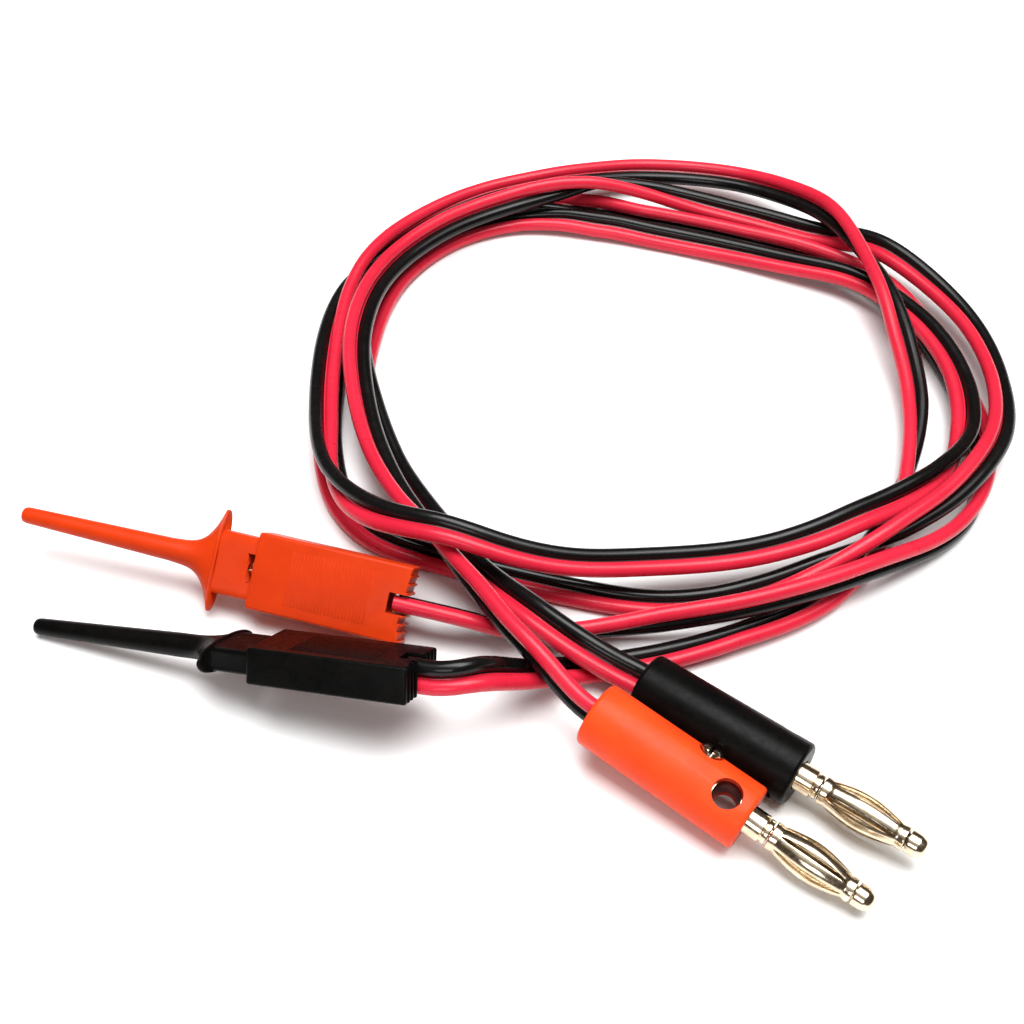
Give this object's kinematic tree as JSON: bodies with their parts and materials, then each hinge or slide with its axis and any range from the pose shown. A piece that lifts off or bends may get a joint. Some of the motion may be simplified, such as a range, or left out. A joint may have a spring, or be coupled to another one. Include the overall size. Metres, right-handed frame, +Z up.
{
  "type": "test lead pair",
  "caption": "Red and black bench test leads: 4 mm lantern banana plugs on bonded twin cords that end in flat spring-loaded mini hook clips, coiled",
  "frame": {"origin": "on the bench, under the middle of the box around the plugs and clips", "axes": "+Z up, +X from the hook clips towards the plugs, +Y towards the coiled cord"},
  "size_m": [0.1573, 0.1532, 0.0172],
  "materials": {
    "orange_plastic": "satin moulded",
    "black_plastic": "glossy moulded",
    "nickel": "bright nickel plate",
    "spring_steel": "drawn wire",
    "copper": "bare copper strands",
    "solder": "tinned",
    "red_insulation": "soft glossy PVC",
    "black_insulation": "soft glossy PVC"
  },
  "bodies": {
    "leads": {"red_plug_sleeve": "orange_plastic", "red_plug_pin": "nickel", "red_plug_stripped_wire": "copper", "red_clip_thumb_body": "orange_plastic", "red_clip_hook": "nickel", "red_clip_spring": "spring_steel", "red_clip_crimp": "solder", "red_lead_red_wire": "red_insulation", "red_lead_black_wire": "black_insulation", "black_plug_sleeve": "black_plastic", "black_plug_pin": "nickel", "black_plug_stripped_wire": "copper", "black_clip_thumb_body": "black_plastic", "black_clip_hook": "nickel", "black_clip_spring": "spring_steel", "black_clip_crimp": "solder", "black_lead_red_wire": "red_insulation", "black_lead_black_wire": "black_insulation"},
    "red_nose": {"red_clip_nose": "orange_plastic"},
    "red_cage": {"red_plug_spring_cage": "nickel"},
    "red_screw": {"red_plug_clamp_screw": "nickel"},
    "black_nose": {"black_clip_nose": "black_plastic"},
    "black_cage": {"black_plug_spring_cage": "nickel"},
    "black_screw": {"black_plug_clamp_screw": "nickel"}
  },
  "joints": [
    {"name": "red_clip_slide", "type": "slide", "parent": "leads", "child": "red_nose", "axis": [0.9659, -0.257, -0.0314], "range_m": [0, 0.005], "stiffness_N_per_m": 200, "springref_m": -0.002, "deforming": ["red_clip_spring"]},
    {"name": "red_cage_spin", "type": "hinge", "parent": "leads", "child": "red_cage", "pos_m": [0.04854, -0.02485, 0.00383], "axis": [0.7992, -0.5913, -0.108], "continuous": true},
    {"name": "red_screw_turn", "type": "hinge", "parent": "leads", "child": "red_screw", "pos_m": [0.03564, -0.01257, 0.00781], "axis": [0.4942, 0.5441, 0.678], "range_deg": [0, 720]},
    {"name": "black_clip_slide", "type": "slide", "parent": "leads", "child": "black_nose", "axis": [0.9504, -0.2582, 0.1736], "range_m": [0, 0.005], "stiffness_N_per_m": 200, "springref_m": -0.002, "deforming": ["black_clip_spring"]},
    {"name": "black_cage_spin", "type": "hinge", "parent": "leads", "child": "black_cage", "pos_m": [0.05607, -0.01837, 0.00465], "axis": [0.8059, -0.592, 0], "continuous": true},
    {"name": "black_screw_turn", "type": "hinge", "parent": "leads", "child": "black_screw", "pos_m": [0.04282, -0.006, 0.00253], "axis": [0.4186, 0.5699, -0.7071], "range_deg": [0, 720]}
  ]
}
